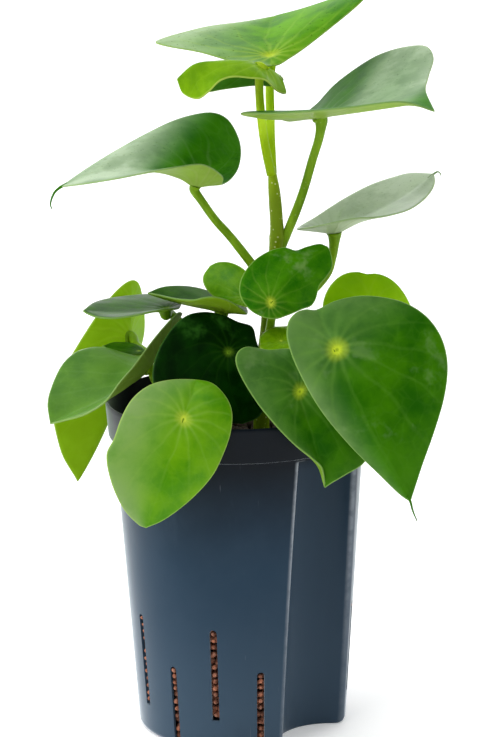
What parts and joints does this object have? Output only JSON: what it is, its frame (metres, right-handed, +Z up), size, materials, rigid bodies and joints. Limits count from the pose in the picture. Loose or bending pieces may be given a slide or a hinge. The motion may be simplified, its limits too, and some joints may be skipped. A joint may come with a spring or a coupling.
{
  "type": "potted peperomia",
  "caption": "House plant with broad shield-shaped drip-tip leaves on upright stems, in a tall slotted plastic culture pot filled with clay pebbles.",
  "frame": {"origin": "centre of the pot's underside, on the surface that the pot stands on", "axes": "+Z up along the pot's axis, -Y towards the picture's camera, +X to the right in the picture"},
  "size_m": [0.2245, 0.2148, 0.4137],
  "materials": {
    "pot_plastic": "semi-matt dark blue-grey moulded plastic",
    "baked_clay": "matt porous red-brown baked clay",
    "stem_green": "smooth fleshy yellow-green stem",
    "leaf_green": "glossy fleshy deep green leaf",
    "leaf_young_green": "glossy fleshy yellow-green young leaf"
  },
  "bodies": {
    "root": {"pot": "pot_plastic", "clay_pebbles": "baked_clay", "main_stem": "stem_green", "left_stem": "stem_green", "leaf_top": "leaf_green", "leaf_crown_young": "leaf_young_green", "leaf_upper_right": "leaf_green", "leaf_upper_left": "leaf_green", "leaf_mid_right": "leaf_green", "leaf_centre": "leaf_green", "leaf_front_right": "leaf_green", "leaf_back_right": "leaf_green", "leaf_front_middle": "leaf_green", "leaf_shoot": "leaf_young_green", "leaf_mid_left": "leaf_green", "leaf_left_flat": "leaf_green", "leaf_far_left": "leaf_green", "leaf_left_sliver": "leaf_young_green", "leaf_left_front": "leaf_green", "leaf_heart": "leaf_green", "leaf_front_left": "leaf_green", "leaf_low_young": "leaf_young_green", "leaf_back_right_low": "leaf_green", "leaf_back_left_low": "leaf_green"}
  },
  "joints": []
}
